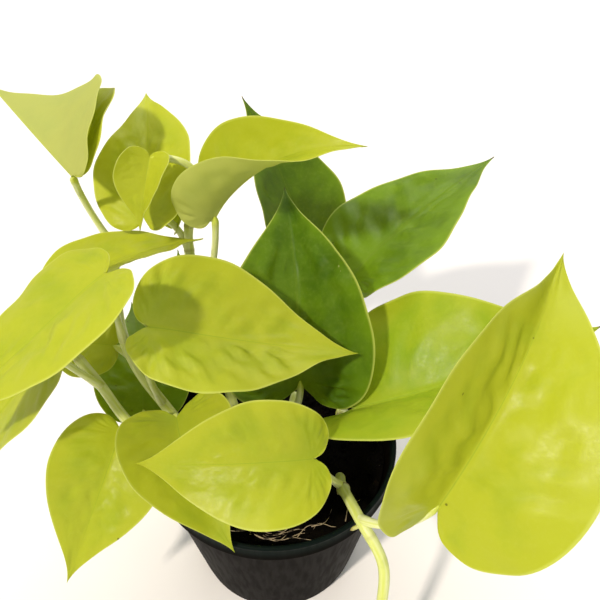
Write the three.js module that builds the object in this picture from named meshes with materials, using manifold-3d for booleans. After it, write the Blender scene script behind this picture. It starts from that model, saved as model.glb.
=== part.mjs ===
// A young golden-lime pothos in a 105 mm nursery pot: rooted cuttings whose vines lean out over the
// rim, one of them hanging down to the surface that the pot stands on.
// Millimetres, +Z up, origin at the centre of the pot's foot. The side that the plant shows off is -Y.
import * as THREE from "three";
import { mergeVertices } from "three/addons/utils/BufferGeometryUtils.js";
import Module from "manifold-3d";

// ---- driving dimensions -------------------------------------------------------------------------
const POT = {
  rimRadius: 52.5, // outside of the rolled rim
  footRadius: 38.5,
  height: 79,
  wall: 1.4,
  rimBand: 8.5, // height of the band round the rim
  rimStep: 2.2, // how far the band stands proud of the wall
  floorLift: 2.5, // the ring of the floor that has the drain holes is raised between boss and foot ring
  bossRadius: 15, // flat disc in the middle of the underside
  footRing: 4, // width of the foot ring
  holes: 8,
  holeRadius: 3.5,
  holeCircle: 25,
  segments: 40,
};
const SOIL = { top: 68, mound: 3, segments: 28, rings: 4, lump: 0.9 };
const GAP = 0.3; // left between pieces that touch
const STALK_RADIUS = 1.3;
const BLADE = { thickness: 0.7, rows: 10, columns: 3 };

// ---- vines: how thick each stem is and the points it passes through, from its root end upward ------
const VINES = {
  vine_trailing: {
    radius: 2.2,
    path: [
      [27, -8, 48], [28, -14, 68], [28, -24, 77], [33, -45, 88], [41, -58, 80], [41, -67, 62],
      [40, -75, 30], [39, -83, 9], [42, -96, 2.8], [50, -110, 2.6], [60, -121, 2.6],
    ],
  },
  vine_left: {
    radius: 2.3,
    path: [
      [-36, -12, 48], [-41, -15, 67], [-44, -13, 77], [-51, -9, 85], [-62, -2, 93], [-72, 7, 103],
      [-81, 12, 116],
    ],
  },
  vine_mid_left: {
    radius: 2.4,
    path: [
      [-30, 0, 48], [-36, 3, 68], [-41, 4, 81], [-48, 8, 91], [-57, 15, 101], [-64, 24, 112],
      [-69, 41, 124], [-72, 60, 136],
    ],
  },
  vine_centre: { radius: 2.2, path: [[6, 8, 48], [6, 11, 68], [7, 15, 76], [9, 22, 82]] },
  vine_back: {
    radius: 2.3,
    path: [[-16, 12, 48], [-18, 18, 68], [-26, 32, 90], [-33, 46, 114], [-38, 57, 136], [-37, 60, 150]],
  },
  vine_right: { radius: 2.2, path: [[27, 10, 48], [28, 13, 68], [30, 17, 76], [30, 32, 82], [27, 54, 96]] },
};

// ---- leaves -------------------------------------------------------------------------------------
// base and tip are the ends of the midrib. roll turns the upper face about the line from base to tip,
// fold raises the left and right halves, cup bends them further towards the margin, arch and bend bow
// the midrib up and sideways (shares of its length), twist turns the tip against the base, and hang
// drops the lobes behind the stalk. Angles are in degrees. from and via carry the stalk to the base.
const LEAVES = {
  leaf_top_left: {
    base: [-76, 46, 180], tip: [-128, 108, 191], roll: 72, width: 0.87, fold: [84, 84],
    arch: 0, twist: 80, hang: 0, from: [-72, 60, 136], via: [-83, 64, 158],
  },
  leaf_upright: {
    base: [-55, 54, 157], tip: [-60, 114, 184], roll: -15, width: 0.72, fold: [10, 10],
    arch: 0.08, bend: -0.06, twist: 25, from: [-38, 57, 136], via: [-44, 66, 150],
  },
  leaf_young: {
    base: [-48, 54, 183], tip: [-53, 40, 158], roll: -20, width: 0.88, fold: [48, 0], cup: 16,
    arch: 0.08, twist: 50, from: [-37, 60, 150], via: [-20, 56, 184],
  },
  leaf_top_arch: {
    base: [-25, 50, 160], tip: [35, 36, 197], roll: 10, width: 0.65, fold: [35, 20], cup: 30,
    arch: 0.12, bend: 0.04, twist: 55, from: [-33, 46, 114], via: [-25, 54, 134],
  },
  leaf_dark_back: {
    base: [15, 96, 111], tip: [-18, 136, 173], roll: 15, width: 0.8, fold: [10, 10], cup: 5,
    from: [27, 54, 96], via: [24, 80, 100],
  },
  leaf_dark_right: {
    base: [35, 65, 117], tip: [106, 111, 153], roll: -10, width: 0.8, fold: [12, 12],
    arch: 0.03, twist: 10, from: [28, 38, 86], via: [32, 54, 104],
  },
  leaf_dark_centre: {
    base: [11, 18, 93], tip: [4, 76, 157], roll: -5, width: 0.88, fold: [20, 35], cup: 5,
    arch: 0.1, bend: -0.02, from: [7, 15, 76], via: [12, 14, 84],
  },
  leaf_dark_inner: {
    base: [-32, 18, 122], tip: [-40, 44, 146], roll: -20, width: 0.62, fold: [8, 8],
    from: [-26, 32, 90], via: [-38, 20, 108],
  },
  leaf_dark_left: {
    base: [-58, 10, 84], tip: [-72, 66, 98], roll: 5, width: 0.72, fold: [10, 10],
    bend: -0.03, from: [-41, 4, 81], via: [-53, -1, 83],
  },
  leaf_centre: {
    base: [-44, -1, 145], tip: [34, 6, 123], roll: 10, width: 0.82, fold: [12, 15], cup: 4,
    arch: -0.02, from: [-48, 8, 91], via: [-52, -2, 124],
  },
  leaf_left: {
    base: [-58, 2, 167], tip: [-112, -38, 130], roll: 10, width: 0.8, fold: [12, 12], cup: -10,
    arch: 0.02, bend: 0.03, from: [-64, 24, 112], via: [-62, 16, 144],
  },
  leaf_left_back: {
    base: [-84, 24, 141], tip: [-31, 56, 143], roll: -15, width: 0.8, fold: [15, 12], cup: 4,
    arch: 0.05, bend: 0.02, twist: 5, from: [-81, 12, 116], via: [-93, 20, 128],
  },
  leaf_corner: {
    base: [-87, 4, 126], tip: [-132, -18, 74], width: 0.8, fold: [12, 10],
    bend: 0.03, from: [-72, 7, 103], via: [-76, 1, 117],
  },
  leaf_low_left: {
    base: [-72, 29, 105], tip: [-110, 42, 93], roll: -30, width: 0.8, fold: [10, 10],
    arch: 0.06, from: [-57, 15, 101], via: [-63, 25, 104],
  },
  leaf_lower_left: {
    base: [-62, -11, 94], tip: [-82, -52, 52], roll: -35, width: 0.74, fold: [14, 14],
    arch: 0.05, twist: -15, from: [-51, -9, 85], via: [-57, -6, 92],
  },
  leaf_lower_mid: {
    base: [-39, -7, 99], tip: [-13, -54, 80], roll: 10, width: 0.9, fold: [18, 18], cup: 10,
    arch: 0.1, bend: -0.05, from: [-41, 4, 81], via: [-42, 0, 95],
  },
  leaf_lower_front: {
    base: [15, -36, 112], tip: [-50, -32, 104], roll: -45, width: 0.7, fold: [12, 12], cup: 4,
    arch: 0.1, from: [28, -24, 77], via: [22, -31, 92],
  },
  leaf_right_fold: {
    base: [34, 3, 94], tip: [135, 20, 125], roll: 20, width: 0.82, fold: [20, 60], cup: -12,
    arch: 0.1, bend: -0.06, twist: 30, from: [30, 17, 76], via: [34, 6, 80],
  },
  leaf_right_front: {
    base: [57, -56, 114], tip: [105, 12, 168], roll: 10, width: 0.78, fold: [60, 18],
    arch: 0.14, bend: -0.03, twist: -4, from: [33, -45, 88], via: [46, -58, 98],
  },
  leaf_trailing: {
    base: [68, -128, 8], tip: [100, -150, 3], width: 0.78, fold: [8, 8],
    arch: 0.06, from: [60, -121, 2.6], via: [64, -124, 7],
  },
};
const LEAF_DEFAULTS = { width: 0.8, roll: 0, fold: [8, 8], cup: 0, arch: 0.04, bend: 0, twist: 0, hang: 0.1 };

// ---- materials ----------------------------------------------------------------------------------
const material = (color, roughness) => new THREE.MeshStandardMaterial({ color, roughness, metalness: 0 });
const MATERIALS = {
  pot: material(0x22261f, 0.5),
  soil: material(0x1d130c, 1.0),
  vine: material(0xa3ad5a, 0.5),
  stalk: material(0xb4bf5e, 0.5),
  lime: material(0xbccb2c, 0.4),
  green: material(0x4e8c12, 0.4),
};

// ---- solids: closed meshes that manifold-3d can join and cut --------------------------------------
const wasm = await Module();
wasm.setup();

function solidOf(geometry) {
  const bare = geometry.clone();
  for (const name of Object.keys(bare.attributes)) if (name !== "position") bare.deleteAttribute(name);
  const merged = mergeVertices(bare, 1e-4);
  return new wasm.Manifold(
    new wasm.Mesh({
      numProp: 3,
      vertProperties: new Float32Array(merged.attributes.position.array),
      triVerts: new Uint32Array(merged.index.array),
    }),
  );
}

function geometryOf(solid) {
  const mesh = solid.getMesh();
  const positions = new Float32Array(mesh.numVert * 3);
  for (let i = 0; i < mesh.numVert; i++)
    positions.set(mesh.vertProperties.subarray(i * mesh.numProp, i * mesh.numProp + 3), i * 3);
  return new THREE.BufferGeometry()
    .setAttribute("position", new THREE.BufferAttribute(positions, 3))
    .setIndex(new THREE.BufferAttribute(new Uint32Array(mesh.triVerts), 1))
    .toNonIndexed();
}

// The largest body of a solid that a cut has left in several.
function largest(solid) {
  const bodies = solid.decompose().sort((a, b) => b.volume() - a.volume());
  return bodies[0];
}

const group = new THREE.Group();
function addMesh(name, geometry, finish) {
  const mesh = new THREE.Mesh(geometry, finish);
  mesh.name = name;
  geometry.computeVertexNormals();
  group.add(mesh);
  return mesh;
}

const vector = (point) => new THREE.Vector3(...point);

// ---- stems --------------------------------------------------------------------------------------
function tube(curve, radius, sides, steps) {
  const section = new THREE.Shape();
  for (let i = 0; i < sides; i++) {
    const angle = (2 * Math.PI * i) / sides;
    const x = radius * Math.cos(angle);
    const y = radius * Math.sin(angle);
    if (i) section.lineTo(x, y);
    else section.moveTo(x, y);
  }
  section.closePath();
  return new THREE.ExtrudeGeometry(section, { steps, extrudePath: curve, bevelEnabled: false });
}

function vineSolid(name, grow = 0) {
  const { radius, path } = VINES[name];
  const curve = new THREE.CatmullRomCurve3(path.map(vector), false, "centripetal");
  return solidOf(tube(curve, radius + grow, 8, path.length * 2));
}

// ---- leaf blades ----------------------------------------------------------------------------------
// Half of the flat outline, from the notch round the lobe to the widest point and on to the tip, with
// the length and the half width both 1.
const LOBE = new THREE.CubicBezierCurve(
  new THREE.Vector2(0, 0), new THREE.Vector2(-0.17, 0.15), new THREE.Vector2(-0.1, 1), new THREE.Vector2(0.24, 1),
);
const SHOULDER = new THREE.CubicBezierCurve(
  new THREE.Vector2(0.24, 1), new THREE.Vector2(0.52, 1), new THREE.Vector2(0.78, 0.1), new THREE.Vector2(1, 0),
);
const outline = (t) => (t < 0.5 ? LOBE.getPoint(2 * t) : SHOULDER.getPoint(2 * t - 1));
const LOBE_SHARE = 0.42; // veins before this share of the outline all start at the stalk
const VEIN_SPREAD = 1.2;
const veinStart = (t) => Math.max(0, (t - LOBE_SHARE) / (1 - LOBE_SHARE)) ** VEIN_SPREAD;

// The flat blade as points [x, y] and triangles, along its side veins.
function flatBlade() {
  const points = [];
  const triangles = [];
  const seen = new Map();
  const pointAt = (row, column, side) => {
    const t = row / BLADE.rows;
    const q = column / BLADE.columns;
    const edge = outline(t);
    const x = veinStart(t) * (1 - q) + edge.x * q;
    const y = side * edge.y * q;
    const key = `${x.toFixed(4)},${(y + 0).toFixed(4)}`.replace("-0.0000", "0.0000");
    if (!seen.has(key)) {
      seen.set(key, points.length);
      points.push([x, y]);
    }
    return seen.get(key);
  };
  for (const side of [1, -1])
    for (let row = 0; row < BLADE.rows; row++)
      for (let column = 0; column < BLADE.columns; column++) {
        const [a, b, c, d] = [[0, 0], [1, 0], [1, 1], [0, 1]].map(([i, j]) => pointAt(row + i, column + j, side));
        for (const [i, j, k] of [[a, b, c], [a, c, d]])
          if (i !== j && j !== k && k !== i) triangles.push(side > 0 ? [i, j, k] : [i, k, j]);
      }
  return { points, triangles };
}

// The frame of a leaf: along its chord, across to its left and out of its upper face.
function leafFrame(leaf) {
  const base = vector(leaf.base);
  const along = vector(leaf.tip).sub(base);
  const length = along.length();
  along.normalize();
  const face = new THREE.Vector3(0, 0, 1).addScaledVector(along, -along.z).normalize();
  face.applyAxisAngle(along, THREE.MathUtils.degToRad(leaf.roll));
  const left = new THREE.Vector3().crossVectors(face, along);
  return { base, along, left, face, length };
}

// Where the flat point [x, y] of a leaf lies in space, lifted off the blade's middle by height.
function bladePoint(leaf, frame, [x, y], height) {
  const rad = THREE.MathUtils.degToRad;
  const { base, along, left, face, length } = frame;
  const bow = x < 0 ? 4 * x : 4 * x * (1 - x);
  const slope = x < 0 ? 4 : 4 - 8 * x;
  const behind = Math.max(0, 0.15 - x);
  const centre = base.clone()
    .addScaledVector(along, length * x)
    .addScaledVector(face, length * (leaf.arch * bow - leaf.hang * 4 * behind * behind))
    .addScaledVector(left, length * leaf.bend * bow);
  const tangent = along.clone()
    .addScaledVector(face, leaf.arch * slope)
    .addScaledVector(left, leaf.bend * slope)
    .normalize();
  const across = left.clone().addScaledVector(tangent, -left.dot(tangent)).normalize();
  across.applyAxisAngle(tangent, rad(leaf.twist) * (x - 0.5));
  const up = new THREE.Vector3().crossVectors(tangent, across);
  const reach = (Math.abs(y) * length * leaf.width) / 2;
  const rise = rad(leaf.fold[y > 0 ? 0 : 1] + leaf.cup * Math.abs(y));
  const side = Math.sign(y);
  const normalTilt = rad(leaf.fold[y > 0 ? 0 : 1]) * Math.min(1, Math.abs(y) * 4) + rad(2 * leaf.cup) * Math.abs(y);
  return centre
    .addScaledVector(across, side * reach * Math.cos(rise) - side * height * Math.sin(normalTilt))
    .addScaledVector(up, reach * Math.sin(rise) + height * Math.cos(normalTilt));
}

const FLAT = flatBlade();

// A closed thin solid on both sides of a leaf's middle surface.
function bladeGeometry(leaf, thickness = BLADE.thickness, grow = 0) {
  const frame = leafFrame(leaf);
  const scale = 1 + (2 * grow) / frame.length;
  const place = ([x, y], height) => bladePoint(leaf, frame, [(x - 0.2) * scale + 0.2, y * scale], height);
  const upper = FLAT.points.map((p) => place(p, thickness / 2));
  const lower = FLAT.points.map((p) => place(p, -thickness / 2));
  const faces = [];
  const open = new Map();
  for (const [i, j, k] of FLAT.triangles) {
    faces.push([upper[i], upper[j], upper[k]], [lower[i], lower[k], lower[j]]);
    for (const [a, b] of [[i, j], [j, k], [k, i]]) {
      if (open.has(`${b},${a}`)) open.delete(`${b},${a}`);
      else open.set(`${a},${b}`, [a, b]);
    }
  }
  for (const [a, b] of open.values())
    faces.push([upper[a], lower[a], lower[b]], [upper[a], lower[b], upper[b]]);
  return new THREE.BufferGeometry().setFromPoints(faces.flat());
}

const leafOf = (name) => ({ ...LEAF_DEFAULTS, ...LEAVES[name] });

function addLeaf(name) {
  const leaf = leafOf(name);
  const finish = name.includes("dark") ? MATERIALS.green : MATERIALS.lime;
  addMesh(name, bladeGeometry(leaf), finish);
  const curve = new THREE.QuadraticBezierCurve3(vector(leaf.from), vector(leaf.via), vector(leaf.base));
  let stalk = solidOf(tube(curve, STALK_RADIUS, 6, 7));
  stalk = stalk.subtract(solidOf(bladeGeometry(leaf, BLADE.thickness + 2 * GAP, GAP)));
  for (const vine of Object.keys(VINES)) stalk = stalk.subtract(vineSolid(vine, GAP));
  addMesh(name.replace("leaf", "stalk"), geometryOf(largest(stalk)), MATERIALS.stalk);
}

// ---- pot and soil ---------------------------------------------------------------------------------
// Outside radius of the tapered wall, below the band round the rim.
const BAND_FOOT = POT.height - POT.rimBand;
const wallRadius = (z) => POT.footRadius + ((POT.rimRadius - POT.rimStep - POT.footRadius) * z) / BAND_FOOT;

function potSolid() {
  const p = POT;
  const inner = (z) => wallRadius(z) - p.wall;
  const profile = [
    [0, 0], [p.bossRadius, 0], [p.bossRadius + 1, p.floorLift],
    [p.footRadius - p.footRing, p.floorLift], [p.footRadius - p.footRing + 1, 0],
    [p.footRadius - 1, 0], [p.footRadius, 1], [wallRadius(BAND_FOOT), BAND_FOOT],
    [p.rimRadius - 0.8, BAND_FOOT], [p.rimRadius, BAND_FOOT + 0.8], [p.rimRadius, p.height - 0.8],
    [p.rimRadius - 0.8, p.height], [p.rimRadius - p.wall, p.height],
    [p.rimRadius - p.wall - 0.6, p.height - 0.8], [p.rimRadius - p.wall - 0.8, BAND_FOOT + 2],
    [inner(BAND_FOOT), BAND_FOOT - 1], [inner(6), 6],
    [p.footRadius - p.footRing, p.floorLift + p.wall], [0, p.floorLift + p.wall],
  ].map(([r, z]) => new THREE.Vector2(r, z));
  let pot = solidOf(new THREE.LatheGeometry(profile, p.segments).rotateX(Math.PI / 2));
  for (let i = 0; i < p.holes; i++) {
    const angle = (2 * Math.PI * (i + 0.5)) / p.holes;
    const drill = new THREE.CylinderGeometry(p.holeRadius, p.holeRadius, 12, 12)
      .rotateX(Math.PI / 2)
      .translate(p.holeCircle * Math.cos(angle), p.holeCircle * Math.sin(angle), p.floorLift);
    pot = pot.subtract(solidOf(drill));
  }
  return pot;
}

function soilSolid() {
  const p = POT;
  const inner = (z) => wallRadius(z) - p.wall - GAP;
  const floor = p.floorLift + p.wall + GAP;
  const edge = inner(SOIL.top) - 0.3;
  const profile = [[0, floor], [p.footRadius - p.footRing, floor], [inner(6.6), 6.6]];
  profile.push([inner(SOIL.top - 1.5), SOIL.top - 1.5]);
  for (let ring = SOIL.rings; ring >= 0; ring--) {
    const share = ring / SOIL.rings;
    profile.push([edge * share, SOIL.top + SOIL.mound * (1 - share * share)]);
  }
  const lathe = new THREE.LatheGeometry(profile.map(([r, z]) => new THREE.Vector2(r, z)), SOIL.segments)
    .rotateX(Math.PI / 2);
  const position = lathe.attributes.position;
  for (let i = 0; i < position.count; i++) {
    const [x, y, z] = [position.getX(i), position.getY(i), position.getZ(i)];
    if (z > SOIL.top - 0.5)
      position.setZ(i, z + SOIL.lump * (Math.sin(x * 0.31 + 1) * Math.cos(y * 0.27) + 0.5 * Math.sin(y * 0.6)));
  }
  let soil = solidOf(lathe);
  for (const vine of Object.keys(VINES)) soil = soil.subtract(vineSolid(vine, GAP));
  return largest(soil);
}

// ---- the object -----------------------------------------------------------------------------------
addMesh("pot", geometryOf(potSolid()), MATERIALS.pot);
addMesh("soil", geometryOf(soilSolid()), MATERIALS.soil);
for (const vine of Object.keys(VINES)) addMesh(vine, geometryOf(vineSolid(vine)), MATERIALS.vine);
for (const leaf of Object.keys(LEAVES)) addLeaf(leaf);

export default group;
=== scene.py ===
"""A young pothos in a nursery pot, built as an add-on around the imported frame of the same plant."""

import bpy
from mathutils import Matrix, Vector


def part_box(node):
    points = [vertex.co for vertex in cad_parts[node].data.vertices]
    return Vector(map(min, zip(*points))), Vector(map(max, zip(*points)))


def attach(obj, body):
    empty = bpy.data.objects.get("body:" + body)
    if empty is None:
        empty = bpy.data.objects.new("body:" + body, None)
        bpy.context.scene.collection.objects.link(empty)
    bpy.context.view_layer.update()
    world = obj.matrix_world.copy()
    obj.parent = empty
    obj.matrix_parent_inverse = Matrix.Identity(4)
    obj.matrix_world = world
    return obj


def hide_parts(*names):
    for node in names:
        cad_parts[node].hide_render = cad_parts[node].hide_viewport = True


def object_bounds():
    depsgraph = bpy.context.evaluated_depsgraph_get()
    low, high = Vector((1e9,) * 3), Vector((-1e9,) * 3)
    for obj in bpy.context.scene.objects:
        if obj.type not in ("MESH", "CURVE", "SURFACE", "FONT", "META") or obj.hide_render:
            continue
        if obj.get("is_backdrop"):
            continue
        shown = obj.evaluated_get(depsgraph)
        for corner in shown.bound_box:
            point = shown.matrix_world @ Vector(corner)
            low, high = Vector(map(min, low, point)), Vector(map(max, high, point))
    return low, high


bl_info = {
    "name": "Potted pothos",
    "version": (1, 0, 0),
    "blender": (4, 5, 0),
    "location": "3D View > Sidebar > Pothos",
    "description": "Builds the pot, soil, vines, stalks and leaves of a young trailing pothos",
    "category": "Add Mesh",
}

import math
from dataclasses import dataclass

import bpy
import numpy as np
from bpy.props import FloatProperty, FloatVectorProperty, IntProperty, PointerProperty
from mathutils import Vector, noise

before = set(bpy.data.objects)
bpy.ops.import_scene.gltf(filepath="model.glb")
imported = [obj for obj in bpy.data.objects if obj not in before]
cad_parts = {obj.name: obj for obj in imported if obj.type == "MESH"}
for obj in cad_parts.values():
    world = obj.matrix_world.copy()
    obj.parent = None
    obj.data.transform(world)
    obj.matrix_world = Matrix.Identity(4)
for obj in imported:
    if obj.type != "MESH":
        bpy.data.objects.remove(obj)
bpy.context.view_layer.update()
BODY = "root"
MM = 0.001


def linear(code):
    """The linear colour of an sRGB hex code such as "#a0b030"."""
    parts = [int(code[i : i + 2], 16) / 255 for i in (1, 3, 5)]
    return tuple(c / 12.92 if c <= 0.04045 else ((c + 0.055) / 1.055) ** 2.4 for c in parts)


def colour(name, description, code):
    """A colour setting whose default is an sRGB hex code."""
    return FloatVectorProperty(
        name=name, description=description, subtype="COLOR", size=3, min=0, max=1, default=linear(code)
    )


def length(name, description, millimetres):
    """A length setting whose default is given in millimetres."""
    return FloatProperty(name=name, description=description, default=millimetres * MM, min=0, unit="LENGTH")


def power(name, description, watts):
    """A lamp's power setting."""
    return FloatProperty(name=name, description=description, default=watts, min=0, unit="POWER")


# ---- settings -------------------------------------------------------------------------------------
class PotSettings(bpy.types.PropertyGroup):
    rim_radius: FloatProperty(
        name="Rim radius", description="Outside radius of the rolled rim", unit="LENGTH",
        default=(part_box("pot")[1].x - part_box("pot")[0].x) / 2,
    )
    height: FloatProperty(
        name="Height", description="From the foot to the top of the rim", unit="LENGTH",
        default=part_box("pot")[1].z,
    )
    foot_radius: length("Foot radius", "Outside radius of the foot", 38.5)
    wall: length("Wall", "Thickness of the moulded wall", 1.4)
    rim_band: length("Rim band", "Height of the band round the rim", 8.5)
    rim_step: length("Rim step", "How far the band stands proud of the wall", 2.2)
    floor_lift: length("Floor lift", "How high the ring with the drain holes is raised", 2.5)
    hole_circle: length("Hole circle", "Radius of the circle that the drain holes lie on", 25)
    hole_radius: length("Hole radius", "Radius of a drain hole", 3.5)
    holes: IntProperty(name="Holes", description="Number of drain holes", default=8, min=0)
    plastic: colour("Plastic", "Body colour of the moulded pot", "#080503")
    # The lip colour is a painted teal sheen that stands in for the highlights on the rim, not a cast of
    # thinner plastic.
    lip_painted_sheen: colour("Lip", "Slightly green cast of the thinner rim", "#0b1411")
    dust: colour("Dust", "Dried soil and lime on the plastic", "#1d150c")


class SoilSettings(bpy.types.PropertyGroup):
    level: length("Level", "Height of the soil at the wall", 68)
    mound: length("Mound", "How much higher the soil is in the middle", 3)
    lump: length("Lump", "Height of the lumps in the surface", 1.6)
    crumbs: IntProperty(name="Crumbs", description="Loose crumbs and bark chips on top", default=620, min=0)
    # Peat and bark are darker than the real mix: besides their own dark colour they carry painted shade from
    # the leaves over the pot. The roots' stains borrow the bark colour.
    peat: colour("Peat", "Wet peat", "#030201")
    bark: colour("Bark", "Bark chips and drier crumbs", "#110b06")
    root: colour("Root", "Fine roots on the surface", "#a9977c")


class StemSettings(bpy.types.PropertyGroup):
    stalk_radius: length("Stalk radius", "Radius of a leaf stalk", 1.45)
    sheath_length: length("Sheath length", "How far a stalk's swollen foot reaches up from its vine", 7)
    skin: colour("Skin", "Skin of vines and stalks", "#c0c95c")
    streak: colour("Streak", "Pale lengthwise streaks", "#dbdfae")
    mottle: colour("Mottle", "Greener patches in the skin", "#7f9138")
    neck: colour("Neck", "Lime of a stalk just below its blade", "#b6c03c")
    scar: colour("Scar", "Corky brown of nodes and aerial roots", "#7a6238")


class LeafSettings(bpy.types.PropertyGroup):
    thickness: length("Thickness", "Thickness of a blade between its veins", 0.5)
    lime: colour("Lime", "Upper face of a young leaf", "#bec532")
    leaf_green: colour("Leaf green", "Upper face of a leaf that has greened", "#7fa51c")
    dark_green: colour("Dark green", "Upper face of the oldest leaves", "#2c5709")
    margin: colour("Margin", "Thin see-through margin", "#d9e074")
    underside: colour("Underside", "Paler lower face", "#c9ce84")
    glow: colour("Glow", "Light that comes through a blade", "#d8df2a")
    pinprick: colour("Pinprick", "Small brown blemishes", "#332f0a")
    withered: colour("Withered", "Dry point of an old leaf", "#3a2a12")
    rows: IntProperty(name="Rows", description="Mesh rows round half of the outline", default=72, min=20)
    columns: IntProperty(name="Columns", description="Mesh columns from midrib to margin", default=14, min=6)


class StageSettings(bpy.types.PropertyGroup):
    camera_place: FloatVectorProperty(
        name="Camera place", description="Where the camera stands", subtype="TRANSLATION", unit="LENGTH",
        default=(0.011, -0.172, 0.304),
    )
    camera_dip: FloatProperty(
        name="Camera dip", description="How far the camera looks down", subtype="ANGLE",
        default=math.radians(40.7),
    )
    lens: FloatProperty(
        name="Lens", description="Focal length on a 36 mm sensor, in millimetres", default=38.4
    )
    floor_size: length("Floor size", "Side of the square floor", 6000)
    floor: colour("Floor", "Matt painted floor", "#e6e3e1")
    key_power: power("Key power", "Main lamp, in front on the left", 58)
    key_tint: colour("Key tint", "Warm white of the main lamp", "#fff4e4")
    top_power: power("Top power", "Wide soft lamp overhead and behind", 26)
    top_tint: colour("Top tint", "White of the lamp overhead", "#fffdf8")
    side_power: power("Side power", "Soft lamp on the right", 4)
    side_tint: colour("Side tint", "White of the lamp on the right", "#fdfdff")
    sky: FloatProperty(name="Sky", description="Strength of the even light all round", default=0.6, min=0)
    sky_tint: colour("Sky tint", "White of the even light all round", "#f7f6f8")


# ---- nodes and materials ---------------------------------------------------------------------------
def rgba(shade):
    return (*tuple(shade)[:3], 1.0)


def per(millimetres):
    """A pattern's scale, in repeats per metre, from its real size."""
    return 1 / (millimetres * MM)


class Nodes:
    """The emptied node tree of a new material or world, and short ways to add to it."""

    def __init__(self, owner):
        owner.use_nodes = True
        self.owner, self.tree = owner, owner.node_tree
        self.tree.nodes.clear()

    def add(self, kind, inputs=None, **settings):
        """Adds a node. A value in inputs that is an output socket is linked, and any other is set."""
        made = self.tree.nodes.new(kind)
        for name, value in settings.items():
            setattr(made, name, value)
        for socket, value in (inputs or {}).items():
            if isinstance(value, bpy.types.NodeSocket):
                self.tree.links.new(value, made.inputs[socket])
            else:
                made.inputs[socket].default_value = value
        return made

    def finish(self, shader, kind="ShaderNodeOutputMaterial"):
        """Gives the material or world its shader, and returns it."""
        self.add(kind, {0: shader.outputs[0]})
        return self.owner

    def mix(self, share, first, second):
        """The colour socket of a mix from first to second."""
        return self.add("ShaderNodeMix", {0: share, 6: first, 7: second}, data_type="RGBA").outputs[2]

    def maths(self, operation, first, second=0.0, third=0.0):
        """The value socket of a sum."""
        return self.add("ShaderNodeMath", {0: first, 1: second, 2: third}, operation=operation).outputs[0]

    def times(self, first, second):
        return self.maths("MULTIPLY", first, second)

    def ramp(self, value, start, end, low=0.0, high=1.0):
        """Smoothly low at start and high at end."""
        inputs = {"Value": value, 1: start, 2: end, 3: low, 4: high}
        return self.add("ShaderNodeMapRange", inputs, interpolation_type="SMOOTHSTEP").outputs[0]

    def points(self):
        """A socket with each place's position on its object, in metres."""
        return self.add("ShaderNodeTexCoord").outputs["Object"]

    def split(self, vector):
        return self.add("ShaderNodeSeparateXYZ", {0: vector}).outputs

    def carried(self, name, output="Fac"):
        """A socket that reads what a mesh carries at its points under that name."""
        return self.add("ShaderNodeAttribute", attribute_name=name).outputs[output]

    def mottled(self, points, millimetres, detail, roughness=0.5):
        """The value socket of a noise whose patches are of that size."""
        inputs = {0: points, "Scale": per(millimetres), "Detail": detail, "Roughness": roughness}
        return self.add("ShaderNodeTexNoise", inputs).outputs[0]

    def bumped(self, height, strength, millimetres, **under):
        """The normal socket of a bump of that depth, on the bump given as Normal if there is one."""
        inputs = {"Strength": strength, "Distance": millimetres * MM, "Height": height, **under}
        return self.add("ShaderNodeBump", inputs).outputs[0]


def moulded_plastic(settings):
    """Injection-moulded polypropylene: a satin black that shows fine mould texture and dried dust, with a
    painted teal sheen on the rim band.
    """
    n = Nodes(bpy.data.materials.new("moulded_polypropylene"))
    points = n.points()
    height = n.split(points)[2]
    # Painted sheen: the rim band is mixed from the black towards the teal lip colour.
    on_band = n.ramp(height, settings.height - settings.rim_band, settings.height - 3 * MM)
    plastic = n.mix(on_band, rgba(settings.plastic), rgba(settings.lip_painted_sheen))
    cloud = n.mottled(points, 14, 6, 0.65)
    grit = n.mottled(points, 0.9, 2)
    near_rim = n.ramp(height, settings.height - 14 * MM, settings.height, 0.05, 0.25)
    near_foot = n.ramp(height, 12 * MM, 0.0, 0.0, 0.35)
    dusty = n.maths("ADD", near_rim, near_foot)
    dust = n.times(n.ramp(cloud, 0.48, 0.78), dusty)
    runs = n.add("ShaderNodeMapping", {0: points, "Scale": (1, 1, 0.08)})
    scuff = n.mottled(runs.outputs[0], 2.2, 3)
    rough = n.ramp(scuff, 0.35, 0.7, 0.48, 0.58)
    shader = n.add("ShaderNodeBsdfPrincipled", {
        "Base Color": n.mix(dust, plastic, rgba(settings.dust)),
        "Roughness": n.maths("ADD", rough, n.times(dust, 0.4)),
        "IOR": 1.49,
        "Specular IOR Level": 0.03,
        "Normal": n.bumped(grit, 0.25, 0.05),
    })
    return n.finish(shader)


def potting_mix(settings, name, share):
    """Moist peat and bark: dull, near black partly as painted shade from the leaves above, with a damp sheen
    only on the smallest grains.
    """
    n = Nodes(bpy.data.materials.new(name))
    points = n.points()
    patch = n.mottled(points, 6, 5, 0.7)
    grain = n.mottled(points, 0.8, 4, 0.8)
    dry = n.times(n.ramp(patch, 0.42, 0.7), share)
    shader = n.add("ShaderNodeBsdfPrincipled", {
        "Base Color": n.mix(dry, rgba(settings.peat), rgba(settings.bark)),
        "Roughness": n.ramp(grain, 0.3, 0.6, 0.7, 1.0),
        "IOR": 1.33,
        "Specular IOR Level": 0.12,
        "Normal": n.bumped(grain, 0.8, 0.4),
    })
    return n.finish(shader)


def living_root(settings):
    """Fine feeder roots: cream and dull, stained by the soil in places."""
    n = Nodes(bpy.data.materials.new("feeder_root"))
    stain = n.mottled(n.points(), 3, 3)
    shade = n.mix(n.ramp(stain, 0.4, 0.65), rgba(settings.root), rgba(settings.bark))
    shader = n.add("ShaderNodeBsdfPrincipled", {"Base Color": shade, "Roughness": 0.6, "IOR": 1.4})
    return n.finish(shader)


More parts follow.
